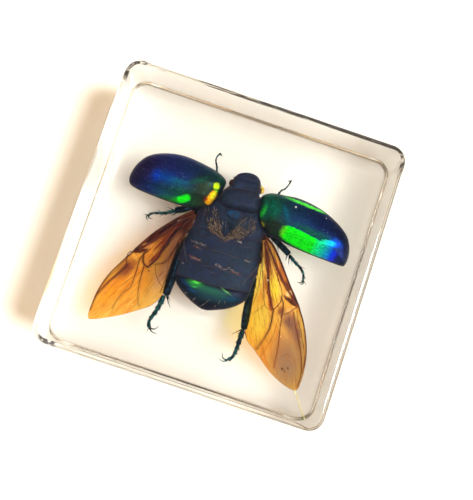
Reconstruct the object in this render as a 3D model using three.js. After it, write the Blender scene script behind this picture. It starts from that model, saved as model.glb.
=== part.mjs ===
// A square block of clear cast resin, made to hold one dried beetle. The block is the only
// solid: the specimen was sealed in as the resin set, and nothing can be taken apart.
// Millimetres, +Z up. The origin is the middle of the flat underside.

import * as THREE from 'three';

// Driving dimensions of the cast block.
const SIDE = 45.0;            // outer width and depth
const THICKNESS = 18.0;       // height over the two flat faces
const CORNER_RADIUS = 2.6;    // the four upright corners, seen from above
const EDGE_ROUNDING = 1.0;    // the polished edges round the upper and lower faces

// How finely the round stretches are faceted.
const CORNER_SEGMENTS = 8;
const EDGE_SEGMENTS = 4;

// The outline of a square with round corners, centred on the Z axis.
function roundedSquare(side, radius) {
  const half = side / 2;
  const inner = half - radius;
  const quarter = Math.PI / 2;
  const shape = new THREE.Shape();
  shape.absarc(inner, inner, radius, 0, quarter, false);
  shape.absarc(-inner, inner, radius, quarter, 2 * quarter, false);
  shape.absarc(-inner, -inner, radius, 2 * quarter, 3 * quarter, false);
  shape.absarc(inner, -inner, radius, 3 * quarter, 4 * quarter, false);
  shape.closePath();
  return shape;
}

// The block: an upright prism whose upper and lower edges are rounded over.
function blockGeometry() {
  const flatOutline = roundedSquare(SIDE - 2 * EDGE_ROUNDING, CORNER_RADIUS - EDGE_ROUNDING);
  const geometry = new THREE.ExtrudeGeometry(flatOutline, {
    depth: THICKNESS - 2 * EDGE_ROUNDING,
    curveSegments: CORNER_SEGMENTS,
    steps: 1,
    bevelEnabled: true,
    bevelThickness: EDGE_ROUNDING,
    bevelSize: EDGE_ROUNDING,
    bevelSegments: EDGE_SEGMENTS,
  });
  geometry.translate(0, 0, EDGE_ROUNDING);
  return geometry;
}

const resin = new THREE.MeshStandardMaterial({
  color: 0xf7f5f0,
  roughness: 0.04,
  metalness: 0.0,
  transparent: true,
  opacity: 0.3,
});

const specimenBlock = new THREE.Group();

const resinBlock = new THREE.Mesh(blockGeometry(), resin);
resinBlock.name = 'resin_block';
specimenBlock.add(resinBlock);

export default specimenBlock;
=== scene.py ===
# A dried metallic chafer beetle, wings spread, sealed in a polished block of clear cast resin.
# The beetle is laid out in its own millimetres: X to its right, Y towards the head, Z up, with the
# origin in the middle of the body. settle turns those into metres in the block's frame.

import math
import random

import bmesh
import bpy
import numpy as np
from mathutils import Matrix, Vector, noise


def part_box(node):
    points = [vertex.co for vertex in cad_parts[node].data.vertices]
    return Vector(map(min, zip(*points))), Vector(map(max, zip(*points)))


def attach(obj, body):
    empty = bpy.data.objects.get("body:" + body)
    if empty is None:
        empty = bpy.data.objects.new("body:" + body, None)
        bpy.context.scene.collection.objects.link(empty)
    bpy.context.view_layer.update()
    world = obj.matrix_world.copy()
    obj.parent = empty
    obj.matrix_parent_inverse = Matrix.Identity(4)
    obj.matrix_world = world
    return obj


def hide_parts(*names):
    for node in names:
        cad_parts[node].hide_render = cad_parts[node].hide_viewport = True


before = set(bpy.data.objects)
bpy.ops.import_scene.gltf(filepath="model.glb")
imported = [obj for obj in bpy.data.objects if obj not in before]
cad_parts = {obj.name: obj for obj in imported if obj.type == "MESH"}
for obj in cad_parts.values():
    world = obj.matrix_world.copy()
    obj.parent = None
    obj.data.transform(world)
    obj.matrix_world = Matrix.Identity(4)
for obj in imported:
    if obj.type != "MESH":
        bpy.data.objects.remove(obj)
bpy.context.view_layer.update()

MM = 0.001

# The block, read from the frame, and its finer rounding.
BLOCK_LOW, BLOCK_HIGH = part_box("resin_block")
BLOCK_SIDE = BLOCK_HIGH[0] - BLOCK_LOW[0]
BLOCK_HEIGHT = BLOCK_HIGH[2] - BLOCK_LOW[2]
CORNER_RADIUS = 2.6 * MM
EDGE_ROUNDING = 1.0 * MM
FOOT_ROUNDING = 0.45 * MM
RESIN_IOR = 1.52

# Where the beetle lies in the block, in millimetres, and how far it is turned.
SPECIMEN_X = 1.04
SPECIMEN_Y = 1.01
SPECIMEN_Z = BLOCK_HEIGHT / MM / 2 + 0.5
SPECIMEN_TURN = math.radians(4.35)
SPECIMEN_TO_BLOCK = (
    Matrix.Scale(MM, 4)
    @ Matrix.Translation((SPECIMEN_X, SPECIMEN_Y, SPECIMEN_Z))
    @ Matrix.Rotation(SPECIMEN_TURN, 4, "Z")
)

rng = random.Random(11)


# ---------------------------------------------------------------- camera

IMAGE_WIDTH = 473
IMAGE_HEIGHT = 500
FOCAL_PIXELS = 625.3
LENS_CENTRE_X = 228.5
LENS_CENTRE_Y = 253.0
CAMERA_PLACE = Vector((0.327, -9.380, 110.0)) * MM
CAMERA_TILT = math.radians(5.006)
CAMERA_LEAN = math.radians(-0.569)
CAMERA_ROLL = math.radians(18.637)


def make_camera():
    lens = bpy.data.cameras.new("camera")
    lens.sensor_width = 36.0
    lens.lens = lens.sensor_width * FOCAL_PIXELS / IMAGE_HEIGHT
    lens.shift_x = (IMAGE_WIDTH / 2 - LENS_CENTRE_X) / IMAGE_HEIGHT
    lens.shift_y = (LENS_CENTRE_Y - IMAGE_HEIGHT / 2) / IMAGE_HEIGHT
    lens.clip_start = 0.002
    lens.clip_end = 10.0
    camera = add_object("camera", lens)
    turn = Matrix.Rotation(CAMERA_TILT, 4, "X") @ Matrix.Rotation(CAMERA_LEAN, 4, "Y")
    camera.matrix_world = Matrix.Translation(CAMERA_PLACE) @ turn @ Matrix.Rotation(CAMERA_ROLL, 4, "Z")
    bpy.context.scene.camera = camera


# ---------------------------------------------------------------- node helpers

def node(tree, kind, inputs=None, **settings):
    """Adds a node. inputs maps a socket's name or number to a value or to another node's output."""
    made = tree.nodes.new(kind)
    for key, value in settings.items():
        setattr(made, key, value)
    for key, value in (inputs or {}).items():
        if isinstance(value, bpy.types.NodeSocket):
            tree.links.new(value, made.inputs[key])
        else:
            made.inputs[key].default_value = value
    return made


def first_of(tree, kind, inputs=None, **settings):
    """The first output of a new node."""
    return node(tree, kind, inputs, **settings).outputs[0]


def maths(tree, operation, first, second=0.0, clamp=False):
    inputs = {0: first, 1: second}
    return first_of(tree, "ShaderNodeMath", inputs, operation=operation, use_clamp=clamp)


def times(tree, first, second):
    return maths(tree, "MULTIPLY", first, second)


def vector_maths(tree, operation, first, second):
    return first_of(tree, "ShaderNodeVectorMath", {0: first, 1: second}, operation=operation)


def scaled(tree, vector, factor):
    return first_of(tree, "ShaderNodeVectorMath", {0: vector, "Scale": factor}, operation="SCALE")


def ease(tree, value, low, high, to_low=0.0, to_high=1.0):
    """A smooth step from to_low at low to to_high at high."""
    inputs = {"Value": value, "From Min": low, "From Max": high, "To Min": to_low, "To Max": to_high}
    return first_of(tree, "ShaderNodeMapRange", inputs, interpolation_type="SMOOTHSTEP")


def opaque(colour):
    """A red, green and blue triple as a full colour. A node's output stays as it is."""
    return colour if isinstance(colour, bpy.types.NodeSocket) else (*colour, 1.0)


def blend(tree, factor, first, second):
    inputs = {0: factor, 6: opaque(first), 7: opaque(second)}
    return node(tree, "ShaderNodeMix", inputs, data_type="RGBA", clamp_factor=True).outputs[2]


def ramp(tree, factor, stops):
    """Colours along factor. Each stop is a position and a colour."""
    made = node(tree, "ShaderNodeValToRGB", {0: factor})
    elements = made.color_ramp.elements
    for index, (position, colour) in enumerate((stops[0], stops[-1])):
        elements[index].position = position
        elements[index].color = opaque(colour)
    for position, colour in stops[1:-1]:
        elements.new(position).color = opaque(colour)
    return made.outputs[0]


def cloud(tree, place, size, detail=3.0):
    """Noise whose features are about size millimetres across."""
    return first_of(tree, "ShaderNodeTexNoise", {"Vector": place, "Scale": 1.0 / size, "Detail": detail})


def cells(tree, place, size):
    """Distance to the nearest of many scattered points, which lie about size millimetres apart."""
    return first_of(tree, "ShaderNodeTexVoronoi", {"Vector": place, "Scale": 1.0 / size})


def stored(tree, name, output="Fac"):
    """What is stored on the mesh under a name, such as rim: 0 amid a plate and 1 on its rim."""
    return node(tree, "ShaderNodeAttribute", attribute_name=name).outputs[output]


def plan_place(tree):
    """The beetle's own millimetres, stored on each of its pieces."""
    return stored(tree, "plan", "Vector")


def turned(tree, place, origin, degrees, unit):
    """The place measured from origin in the given units, along an axis turned by degrees from X."""
    inputs = {"Vector": place, "Location": (*origin, 0.0), "Scale": unit}
    inputs["Rotation"] = (0.0, 0.0, math.radians(degrees))
    return first_of(tree, "ShaderNodeMapping", inputs, vector_type="TEXTURE")


# A unit along Z so large that a mark doesn't change with height.
FLAT = 1000.0


def spot(tree, place, centre, radii, degrees=0.0, softness=0.5, squareness=2.0):
    """1 inside an oval mark, falling to 0 over its outer share softness. A higher squareness fills its
    corners."""
    local = turned(tree, place, centre, degrees, (*radii, FLAT))
    sizes = first_of(tree, "ShaderNodeVectorMath", {0: local}, operation="ABSOLUTE")
    axes = node(tree, "ShaderNodeSeparateXYZ", {0: sizes}).outputs
    along, across = (maths(tree, "POWER", axes[axis], squareness) for axis in (0, 1))
    reach = maths(tree, "POWER", maths(tree, "ADD", along, across), 1.0 / squareness)
    return ease(tree, reach, 1.0 - softness, 1.0 + softness * 0.3, 1.0, 0.0)


def wobbled(tree, place, size, amount):
    """The place, shaken by noise, so that the marks made from it get uneven edges."""
    wave = node(tree, "ShaderNodeTexNoise", {"Vector": place, "Scale": 1.0 / size, "Detail": 3.0})
    centred = vector_maths(tree, "SUBTRACT", wave.outputs["Color"], (0.5, 0.5, 0.5))
    return vector_maths(tree, "ADD", place, scaled(tree, centred, amount))


def bump(tree, height, depth_mm, strength, below=None):
    """A normal for relief of the given height, laid over the one below where that is given."""
    inputs = {"Height": height, "Distance": depth_mm * MM, "Strength": strength}
    if below is not None:
        inputs["Normal"] = below
    return first_of(tree, "ShaderNodeBump", inputs)


def new_finish(name, roughness, metallic=0.0, ior=1.5, transmission=0.0):
    material = bpy.data.materials.new(name)
    material.use_nodes = True
    shader = material.node_tree.nodes["Principled BSDF"]
    shader.inputs["Roughness"].default_value = roughness
    shader.inputs["Metallic"].default_value = metallic
    shader.inputs["IOR"].default_value = ior
    shader.inputs["Transmission Weight"].default_value = transmission
    return material, material.node_tree


def dress(material, colour, normal=None):
    """Links a finish's colour and, where it has relief, its normal."""
    tree = material.node_tree
    shader = tree.nodes["Principled BSDF"]
    tree.links.new(colour, shader.inputs["Base Color"])
    if normal is not None:
        tree.links.new(normal, shader.inputs["Normal"])
    return material


# ---------------------------------------------------------------- finishes

# Painted dark reflections in the corners of the block, in its millimetres: centre, radii and turn in degrees.
PAINTED_CORNER_DARKS = (
    ((-20.9, 20.6), (2.8, 2.5), 45),
    ((20.8, 20.8), (2.6, 2.4), -45),
    ((-19.6, -21.75), (1.9, 0.9), -17),
)


def clear_resin():
    """Water-clear resin. Painted dark reflections lie in streaks in its upper edge, most of them on the far
    side, and the edge round its foot is greyed by painted shade on the far, right and near sides."""
    material, tree = new_finish("clear_resin", 0.0, 0.0, RESIN_IOR, 1.0)
    place = scaled(tree, node(tree, "ShaderNodeTexCoord").outputs["Object"], 1.0 / MM)
    x, y, _ = node(tree, "ShaderNodeSeparateXYZ", {0: place}).outputs
    edge = stored(tree, "edge")
    # Painted dark reflection: near-black streaks in the upper edge, mostly on the far side, and blots in
    # three corners.
    streaks = cloud(tree, turned(tree, place, (0.0, 0.0), 0, (5.0, 0.28, 0.28)), 1.0, 4.0)
    streaks = maths(tree, "ADD", streaks, ease(tree, x, -20.0, 8.0, -0.10, 0.16))
    patchy = ease(tree, cloud(tree, place, 0.7, 4.0), 0.36, 0.52)
    dark = times(tree, ease(tree, streaks, 0.49, 0.56), ease(tree, y, 20.9, 21.4))
    for centre, radii, degrees in PAINTED_CORNER_DARKS:
        corner = times(tree, spot(tree, place, centre, radii, degrees, 0.4), patchy)
        dark = maths(tree, "MAXIMUM", dark, corner)
    dark = times(tree, ease(tree, edge, 0.0, 0.25), dark)
    # Painted dark reflections: grey lines in the upper edge on the right and near sides.
    right_painted_line = ease(tree, x, 20.6, 21.8, 0.25, 0.7)
    near_painted_line = ease(tree, y, -20.6, -21.8, 0.0, 0.45)
    painted_edge_lines = times(tree, ease(tree, edge, 0.80, 0.97), maths(tree, "ADD", right_painted_line, near_painted_line, True))
    # Painted shade: the edge round the foot is greyed on the far, right and near sides.
    far_foot_shade = ease(tree, y, 19.5, 21.5, 0.0, 0.8)
    right_foot_shade = ease(tree, x, 19.5, 21.5, 0.0, 0.6)
    near_foot_shade = ease(tree, y, -19.5, -21.5, 0.0, 0.35)
    foot = maths(tree, "ADD", maths(tree, "ADD", far_foot_shade, right_foot_shade, True), near_foot_shade, True)
    foot = times(tree, ease(tree, edge, -0.15, -0.8), foot)
    colour = blend(tree, foot, (0.995, 0.99, 0.975), (0.16, 0.13, 0.11))
    colour = blend(tree, painted_edge_lines, colour, (0.05, 0.04, 0.03))
    colour = blend(tree, dark, colour, (0.006, 0.007, 0.012))
    ripple = cloud(tree, place, 2.9, 1.0)
    return dress(material, colour, bump(tree, ripple, 0.004, 0.6))


def body_shell(name, base, sheen):
    """Blue-black chitin with a faint lustre in patches, violet-brown towards its margins."""
    material, tree = new_finish(name, 0.55, 0.3, 1.3)
    place = plan_place(tree)
    colour = blend(tree, ease(tree, cloud(tree, place, 2.4), 0.35, 0.65), base, sheen)
    mottling = ease(tree, cloud(tree, place, 0.7, 4.0), 0.36, 0.68, 0.0, 0.7)
    colour = blend(tree, mottling, colour, (0.007, 0.010, 0.022))
    colour = blend(tree, ease(tree, stored(tree, "rim"), 0.55, 1.0), colour, (0.020, 0.016, 0.034))
    wrinkles = bump(tree, cloud(tree, place, 0.6, 4.0), 0.10, 0.6)
    pits = ease(tree, cells(tree, place, 0.34), 0.05, 0.42)
    return dress(material, colour, bump(tree, pits, 0.004, 0.12, wrinkles))


def tail_shell():
    """The last plate: blue-black with a green band across it and blue streaks."""
    material, tree = new_finish("tail_shell", 0.42, 0.8)
    place = plan_place(tree)
    shaken = wobbled(tree, place, 0.5, 0.28)
    colour = (0.003, 0.006, 0.022)
    marks = (
        ((-0.8, -9.1), (4.2, 1.2), 0, 0.95, (0.008, 0.05, 0.085)),
        ((-1.5, -8.25), (3.9, 0.85), -5, 0.95, (0.006, 0.075, 0.05)),
        ((-5.2, -8.1), (1.3, 0.42), -26, 0.9, (0.003, 0.04, 0.15)),
        ((-3.9, -8.95), (1.0, 0.3), -6, 0.9, (0.003, 0.06, 0.20)),
        ((2.3, -8.7), (1.5, 0.45), 10, 0.9, (0.003, 0.06, 0.14)),
        ((1.1, -7.75), (1.2, 0.16), -24, 0.9, (0.10, 0.34, 0.10)),
        ((-3.8, -7.7), (1.5, 0.6), -4, 0.95, (0.015, 0.26, 0.04)),
        ((-3.8, -8.3), (0.6, 0.16), 0, 0.9, (0.02, 0.34, 0.06)),
        ((-3.65, -7.55), (0.7, 0.24), 0, 0.9, (0.10, 0.85, 0.08)),
    )
    for centre, radii, degrees, softness, shade in marks:
        colour = blend(tree, spot(tree, shaken, centre, radii, degrees, softness), colour, shade)
    pits = ease(tree, cells(tree, place, 0.2), 0.05, 0.4)
    return dress(material, colour, bump(tree, pits, 0.02, 0.6))


def leg_shell(name, tint):
    """Dark chitin of the legs, tinted in patches."""
    material, tree = new_finish(name, 0.33, 0.85, 1.15)
    place = plan_place(tree)
    patches = ease(tree, cloud(tree, place, 0.6), 0.4, 0.62)
    colour = blend(tree, patches, (0.003, 0.006, 0.012), tint)
    return dress(material, colour, bump(tree, cloud(tree, place, 0.14, 4.0), 0.02, 0.6))


def wing_case_finish(name, origin, degrees, side, stops, shaded_half_colours, marks, length):
    """Structural colour of a wing case. stops run from hinge to tip over its lower half, brightened as
    painted reflected light, and the other ramp is the upper half, darker as painted shade. side is 1 or -1,
    so that across always counts towards the head."""
    material, tree = new_finish(name, 0.42, 1.0)
    place = plan_place(tree)
    local = turned(tree, place, origin, degrees, (1.0, side, 1.0))
    shaken = {"soft": wobbled(tree, local, 0.55, 0.42), "crisp": wobbled(tree, local, 0.28, 0.42)}
    axes = node(tree, "ShaderNodeSeparateXYZ", {0: shaken["soft"]}).outputs
    along = maths(tree, "DIVIDE", axes[0], length, True)
    # The lower half takes the lit colours as painted reflected light, and the upper half keeps the dark ones
    # as painted shade.
    lit_lower_half = ease(tree, axes[1], 0.3, -1.7)
    colour = blend(tree, lit_lower_half, ramp(tree, along, shaded_half_colours), ramp(tree, along, stops))
    for kind, centre, radii, lean, softness, squareness, shade in marks:
        mask = spot(tree, shaken[kind], centre, radii, lean, softness, squareness)
        colour = blend(tree, mask, colour, ramp(tree, along, shade) if isinstance(shade, list) else shade)

    # Rows of pits from hinge to tip, their hollows darkened as painted shade, and an uneven grain.
    rows = turned(tree, place, origin, degrees, (0.38, 0.14, 1.0))
    dents = ease(tree, cells(tree, rows, 1.0), 0.06, 0.5)
    colour = blend(tree, times(tree, maths(tree, "SUBTRACT", 1.0, dents), 0.15), colour, (0.004, 0.02, 0.03))
    grain = cloud(tree, turned(tree, place, origin, degrees, (0.45, 0.25, 1.0)), 1.0, 4.0)
    colour = scaled(tree, colour, ease(tree, grain, 0.30, 0.70, 0.74, 1.26))

    # Pale flecks, the glint just inside the rim, and the dark rim itself.
    flecks = ease(tree, cells(tree, place, 0.8), 0.15, 0.09, 0.0, 0.28)
    colour = blend(tree, flecks, colour, (0.10, 0.24, 0.26))
    rim = stored(tree, "rim")
    glint = times(tree, ease(tree, rim, 0.925, 0.94), ease(tree, cloud(tree, place, 0.5), 0.42, 0.60))
    colour = blend(tree, times(tree, glint, 0.5), colour, (0.07, 0.13, 0.13))
    colour = blend(tree, ease(tree, rim, 0.955, 0.975), colour, (0.004, 0.007, 0.012))

    waves = {"Vector": local, "Scale": 0.42, "Distortion": 1.2}
    grooves = node(tree, "ShaderNodeTexWave", waves, bands_direction="Y").outputs["Fac"]
    return dress(material, colour, bump(tree, dents, 0.02, 0.5, bump(tree, grooves, 0.035, 0.35)))


def left_case_finish():
    # Colours of the lower half, brightened as painted reflected light, then of the upper half, darker as
    # painted shade.
    lit_half_colours = [
        (0.0, (0.09, 0.05, 0.01)), (0.10, (0.02, 0.025, 0.008)), (0.24, (0.012, 0.045, 0.02)),
        (0.42, (0.008, 0.08, 0.06)), (0.62, (0.007, 0.05, 0.13)), (0.76, (0.006, 0.022, 0.14)),
        (0.88, (0.012, 0.012, 0.07)), (1.0, (0.02, 0.012, 0.05)),
    ]
    shaded_half_colours = [
        (0.0, (0.004, 0.05, 0.035)), (0.12, (0.006, 0.035, 0.06)), (0.35, (0.007, 0.022, 0.10)),
        (0.60, (0.009, 0.015, 0.12)), (0.78, (0.014, 0.012, 0.09)), (1.0, (0.016, 0.010, 0.04)),
    ]
    marks = (
        ("soft", (2.6, 0.0), (2.6, 2.3), 0, 0.9, 2, (0.014, 0.024, 0.012)),
        ("soft", (3.4, 1.0), (2.6, 0.5), -30, 0.9, 2, (0.004, 0.05, 0.035)),
        ("soft", (7.2, -0.1), (2.6, 0.7), -4, 0.95, 2, (0.003, 0.065, 0.12)),
        ("soft", (9.0, 0.2), (2.0, 1.4), 0, 0.95, 2, (0.002, 0.03, 0.17)),
        ("soft", (10.1, 0.0), (0.8, 1.2), 0, 0.95, 2, (0.001, 0.025, 0.30)),
        ("soft", (7.4, -3.0), (2.6, 0.6), -4, 0.9, 2, (0.008, 0.14, 0.06)),
        # The crisp green, yellow-green, yellow and orange marks below are painted highlights of reflected
        # light.
        ("crisp", (5.9, -2.65), (1.7, 0.5), -24, 0.9, 2, (0.01, 0.45, 0.02)),
        ("crisp", (5.15, -2.4), (1.15, 0.62), -26, 0.4, 2.5, (0.008, 0.95, 0.01)),
        ("crisp", (0.75, 0.75), (0.55, 0.62), 12, 0.5, 2, (0.62, 0.85, 0.01)),
        ("crisp", (0.62, 0.0), (0.42, 0.5), -10, 0.7, 2, (0.10, 0.50, 0.01)),
        ("crisp", (1.1, -1.2), (0.62, 1.30), 22, 0.3, 3, (1.0, 0.50, 0.005)),
        ("crisp", (0.86, -0.75), (0.40, 0.85), 22, 0.5, 2, (1.0, 0.95, 0.02)),
        ("crisp", (1.85, -1.6), (0.34, 0.45), 0, 0.9, 2, (0.36, 0.03, 0.01)),
    )
    return wing_case_finish("wing_case_left", (-3.5, 6.8), 180, -1.0, lit_half_colours, shaded_half_colours, marks, 14.2)


def right_case_finish():
    # Colours of the lower half, brightened as painted reflected light, then of the upper half, darker as
    # painted shade.
    lit_half_colours = [
        (0.0, (0.03, 0.16, 0.02)), (0.10, (0.016, 0.05, 0.02)), (0.28, (0.01, 0.04, 0.018)),
        (0.5, (0.01, 0.14, 0.05)), (0.72, (0.01, 0.14, 0.15)), (0.88, (0.01, 0.02, 0.12)),
        (1.0, (0.01, 0.015, 0.04)),
    ]
    shaded_half_colours = [
        (0.0, (0.003, 0.08, 0.04)), (0.14, (0.004, 0.055, 0.05)), (0.34, (0.006, 0.028, 0.085)),
        (0.62, (0.004, 0.012, 0.07)), (1.0, (0.003, 0.006, 0.035)),
    ]
    # Painted highlight colours of reflected light: yellow-green by the hinge through green, cyan and blue to
    # violet at the tip.
    bright = [
        (0.24, (0.28, 0.75, 0.01)), (0.34, (0.005, 0.95, 0.005)), (0.62, (0.005, 0.95, 0.01)),
        (0.71, (0.005, 0.70, 0.40)), (0.78, (0.004, 0.32, 0.72)), (0.835, (0.003, 0.045, 0.95)),
        (0.91, (0.03, 0.008, 0.85)), (1.0, (0.015, 0.006, 0.20)),
    ]
    marks = (
        ("soft", (2.6, -1.0), (2.2, 1.9), 20, 0.9, 2, (0.014, 0.024, 0.012)),
        ("soft", (9.0, 0.4), (4.6, 0.8), 2, 0.95, 2, (0.003, 0.05, 0.04)),
        ("soft", (12.9, 0.5), (1.3, 0.9), 0, 0.9, 2, (0.002, 0.025, 0.26)),
        ("soft", (3.9, 1.6), (1.6, 0.55), -48, 0.95, 2, (0.003, 0.08, 0.14)),
        ("crisp", (9.1, -1.42), (4.8, 1.25), -2, 0.12, 4, bright),
        ("crisp", (12.0, 0.0), (1.5, 0.55), 12, 0.5, 2, bright),
        # A painted highlight: the bright green line along the upper rim.
        ("crisp", (6.3, 3.98), (3.6, 0.30), 3, 0.6, 2, (0.10, 1.0, 0.08)),
        ("soft", (1.5, 1.0), (1.8, 2.3), 0, 0.95, 2, (0.003, 0.14, 0.09)),
        ("crisp", (1.35, -1.55), (0.6, 0.32), -30, 0.7, 2, (0.70, 0.75, 0.04)),
        ("crisp", (0.6, -0.1), (0.50, 1.6), -8, 0.9, 2, (0.02, 0.60, 0.05)),
    )
    return wing_case_finish("wing_case_right", (3.0, 5.5), -11, 1.0, lit_half_colours, shaded_half_colours, marks, 15.6)


def hind_wing_finish(name, marks, spread, root, stain_shade):
    """An amber membrane that lets light through, smoky in patches and finely wrinkled. spread is the
    direction of its fibres, root the folded oval by the hinge."""
    material, tree = new_finish(name, 0.04, 0.0, 1.035, 1.0)
    place = plan_place(tree)
    shaken = wobbled(tree, place, 0.9, 0.5)

    def fibrous(length, width, detail, size=1.0):
        """Noise drawn out along the fibres."""
        return cloud(tree, turned(tree, place, (0.0, 0.0), spread, (length, width, 1.0)), size, detail)

    colour = blend(tree, ease(tree, fibrous(4.5, 0.6, 4.0), 0.3, 0.7), (1.0, 0.66, 0.13), (0.92, 0.42, 0.06))
    for centre, radii, degrees, softness, shade in marks:
        colour = blend(tree, spot(tree, shaken, centre, radii, degrees, softness), colour, shade)
    folds = times(tree, ease(tree, fibrous(6.0, 0.38, 2.0), 0.50, 0.58), spot(tree, place, *root, 0.8))
    colour = blend(tree, times(tree, folds, 0.8), colour, (0.38, 0.07, 0.02))
    fibres = ease(tree, fibrous(1.7, 0.24, 5.0), 0.46, 0.72, 0.0, 0.5)
    colour = blend(tree, fibres, colour, (0.60, 0.22, 0.05))
    colour = blend(tree, stored(tree, "stain"), colour, stain_shade)
    colour = blend(tree, ease(tree, stored(tree, "rim"), 0.975, 1.0), colour, (0.42, 0.20, 0.08))
    return dress(material, colour, bump(tree, fibrous(1.0, 0.3, 5.0, 0.55), 0.10, 0.8))


def two_tone(name, first, second, size, roughness, ior=1.3, relief=0.0):
    """Two near shades in patches of about size millimetres, with relief in millimetres."""
    material, tree = new_finish(name, roughness, 0.0, ior)
    place = plan_place(tree)
    colour = blend(tree, ease(tree, cloud(tree, place, size), 0.35, 0.65), first, second)
    normal = bump(tree, cloud(tree, place, size * 0.5), relief, 0.5) if relief else None
    return dress(material, colour, normal)


def trapped_air():
    material, tree = new_finish("trapped_air", 0.0, 0.0, 1.0 / RESIN_IOR, 1.0)
    tree.nodes["Principled BSDF"].inputs["Base Color"].default_value = opaque((1.0, 1.0, 1.0))
    return material


# ---------------------------------------------------------------- shape helpers

def curve_through(points, count, closed=False):
    """count points on a smooth curve through the given ones, evenly spaced along it."""
    given = np.array(points, dtype=float)
    if closed:
        padded = np.vstack((given[-1:], given, given[:2]))
    else:
        padded = np.vstack((2 * given[:1] - given[1:2], given, 2 * given[-1:] - given[-2:-1]))
    pieces = []
    steps = np.linspace(0.0, 1.0, 24, endpoint=False)[:, None]
    for first, second, third, fourth in zip(padded, padded[1:], padded[2:], padded[3:]):
        bend = 2 * first - 5 * second + 4 * third - fourth
        twist = -first + 3 * second - 3 * third + fourth
        pieces.append(0.5 * (2 * second + (third - first) * steps + bend * steps**2 + twist * steps**3))
    dense = np.vstack(pieces + [padded[-2:-1]])
    lengths = np.concatenate(([0.0], np.cumsum(np.linalg.norm(np.diff(dense, axis=0), axis=1))))
    wanted = np.linspace(0.0, lengths[-1], count + 1 if closed else count)
    even = np.stack([np.interp(wanted, lengths, dense[:, axis]) for axis in range(dense.shape[1])], axis=1)
    return even[:-1] if closed else even


def add_object(name, data):
    """A new object in the scene."""
    made = bpy.data.objects.new(name, data)
    bpy.context.scene.collection.objects.link(made)
    return made


def store(mesh, name, kind, values):
    """Keeps one value for each point of a mesh under a name."""
    field = "vector" if kind == "FLOAT_VECTOR" else "value"
    layer = mesh.attributes.new(name, kind, "POINT")
    layer.data.foreach_set(field, np.asarray(values, dtype=np.float32).ravel())


def settle(piece, material=None):
    """Stores the beetle's millimetres on the mesh, moves it into the block and hands it to the frame."""
    mesh = piece.data
    if material is not None:
        mesh.materials.clear()
        mesh.materials.append(material)
    places = np.empty(len(mesh.vertices) * 3, dtype=np.float32)
    mesh.vertices.foreach_get("co", places)
    store(mesh, "plan", "FLOAT_VECTOR", places)
    mesh.transform(SPECIMEN_TO_BLOCK)
    mesh.shade_smooth()
    mesh.update()
    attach(piece, "root")


def add_piece(name, places, faces, rim=None):
    """A new mesh object, its faces turned outward whichever way round they were listed."""
    mesh = bpy.data.meshes.new(name)
    mesh.from_pydata([tuple(map(float, place)) for place in places], [], faces)
    mesh.validate()
    solid = bmesh.new()
    solid.from_mesh(mesh)
    if solid.calc_volume(signed=True) < 0.0:
        mesh.flip_normals()
    solid.free()
    if rim is not None:
        store(mesh, "rim", "FLOAT", rim)
    return add_object(name, mesh)


def rough(place, size, amount, seed=0.0):
    """Smooth noise in millimetres, the same every run."""
    return amount * noise.noise(Vector((place[0] / size + seed, place[1] / size, seed)))


def stack_faces(levels, around):
    """The walls between stacked rings of around points each, and a cap on either end."""
    faces = []
    for level in range(levels - 1):
        for step in range(around):
            a, b = level * around + step, level * around + (step + 1) % around
            faces.append((a, b, b + around, a + around))
    faces.append(tuple(reversed(range(around))))
    faces.append(tuple(range((levels - 1) * around, levels * around)))
    return faces


def plate(name, outline, spine, base, rise, belly=None, thickness=None, rings=16, around=120,
          power=2.2, sharpness=0.6, surface=None):
    """A closed plate or lens over an outline. spine is the segment its rings shrink to, base its rim's
    height, a number or a function of x and y, and rise its dome. It has either a rounded belly below or
    an even thickness."""
    loop = curve_through(outline, around, closed=True)
    start, end = np.array(spine[0], dtype=float), np.array(spine[1], dtype=float)
    run = end - start
    share = np.clip(((loop - start) @ run) / (run @ run), 0.0, 1.0)[:, None]
    heart = start + share * run
    # Rings lie closer together near the rim.
    shares = np.sin(np.linspace(0.0, math.pi / 2, rings + 1)[1:]) ** 0.9
    places, rims = [], []
    for side in (1, -1):
        for ring, r in enumerate(shares):
            if side == -1 and ring == rings - 1:
                continue
            dome = max(0.0, 1.0 - r**power) ** sharpness
            for x, y in heart + (loop - heart) * r:
                rim_height = base(x, y) if callable(base) else base
                height = rim_height + rise * dome + (surface(x, y) * (1.0 - r**6) if surface else 0.0)
                if side == -1 and belly is not None:
                    height = rim_height - belly * dome
                elif side == -1:
                    height -= thickness * (1.0 - r**4)
                places.append((x, y, height))
                rims.append(r)
    faces = []
    for side in (0, 1):
        start_of = [side * rings * around + ring * around for ring in range(rings)]
        if side == 1:
            start_of[-1] = (rings - 1) * around
        for ring in range(rings - 1):
            for step in range(around):
                after = (step + 1) % around
                a, b = start_of[ring] + step, start_of[ring] + after
                c, d = start_of[ring + 1] + after, start_of[ring + 1] + step
                faces.append((a, d, c, b) if side == 0 else (a, b, c, d))
        centre = len(places)
        places.append(tuple(np.mean([places[start_of[0] + step] for step in range(around)], axis=0)))
        rims.append(0.0)
        for step in range(around):
            after = (step + 1) % around
            pair = (start_of[0] + step, start_of[0] + after)
            faces.append((centre, pair[0], pair[1]) if side == 0 else (centre, pair[1], pair[0]))
    return add_piece(name, places, faces, rims)


UP = Vector((0.0, 0.0, 1.0))
# The share of a tube's length over which each end rounds off.
TUBE_END = 0.02


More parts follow.
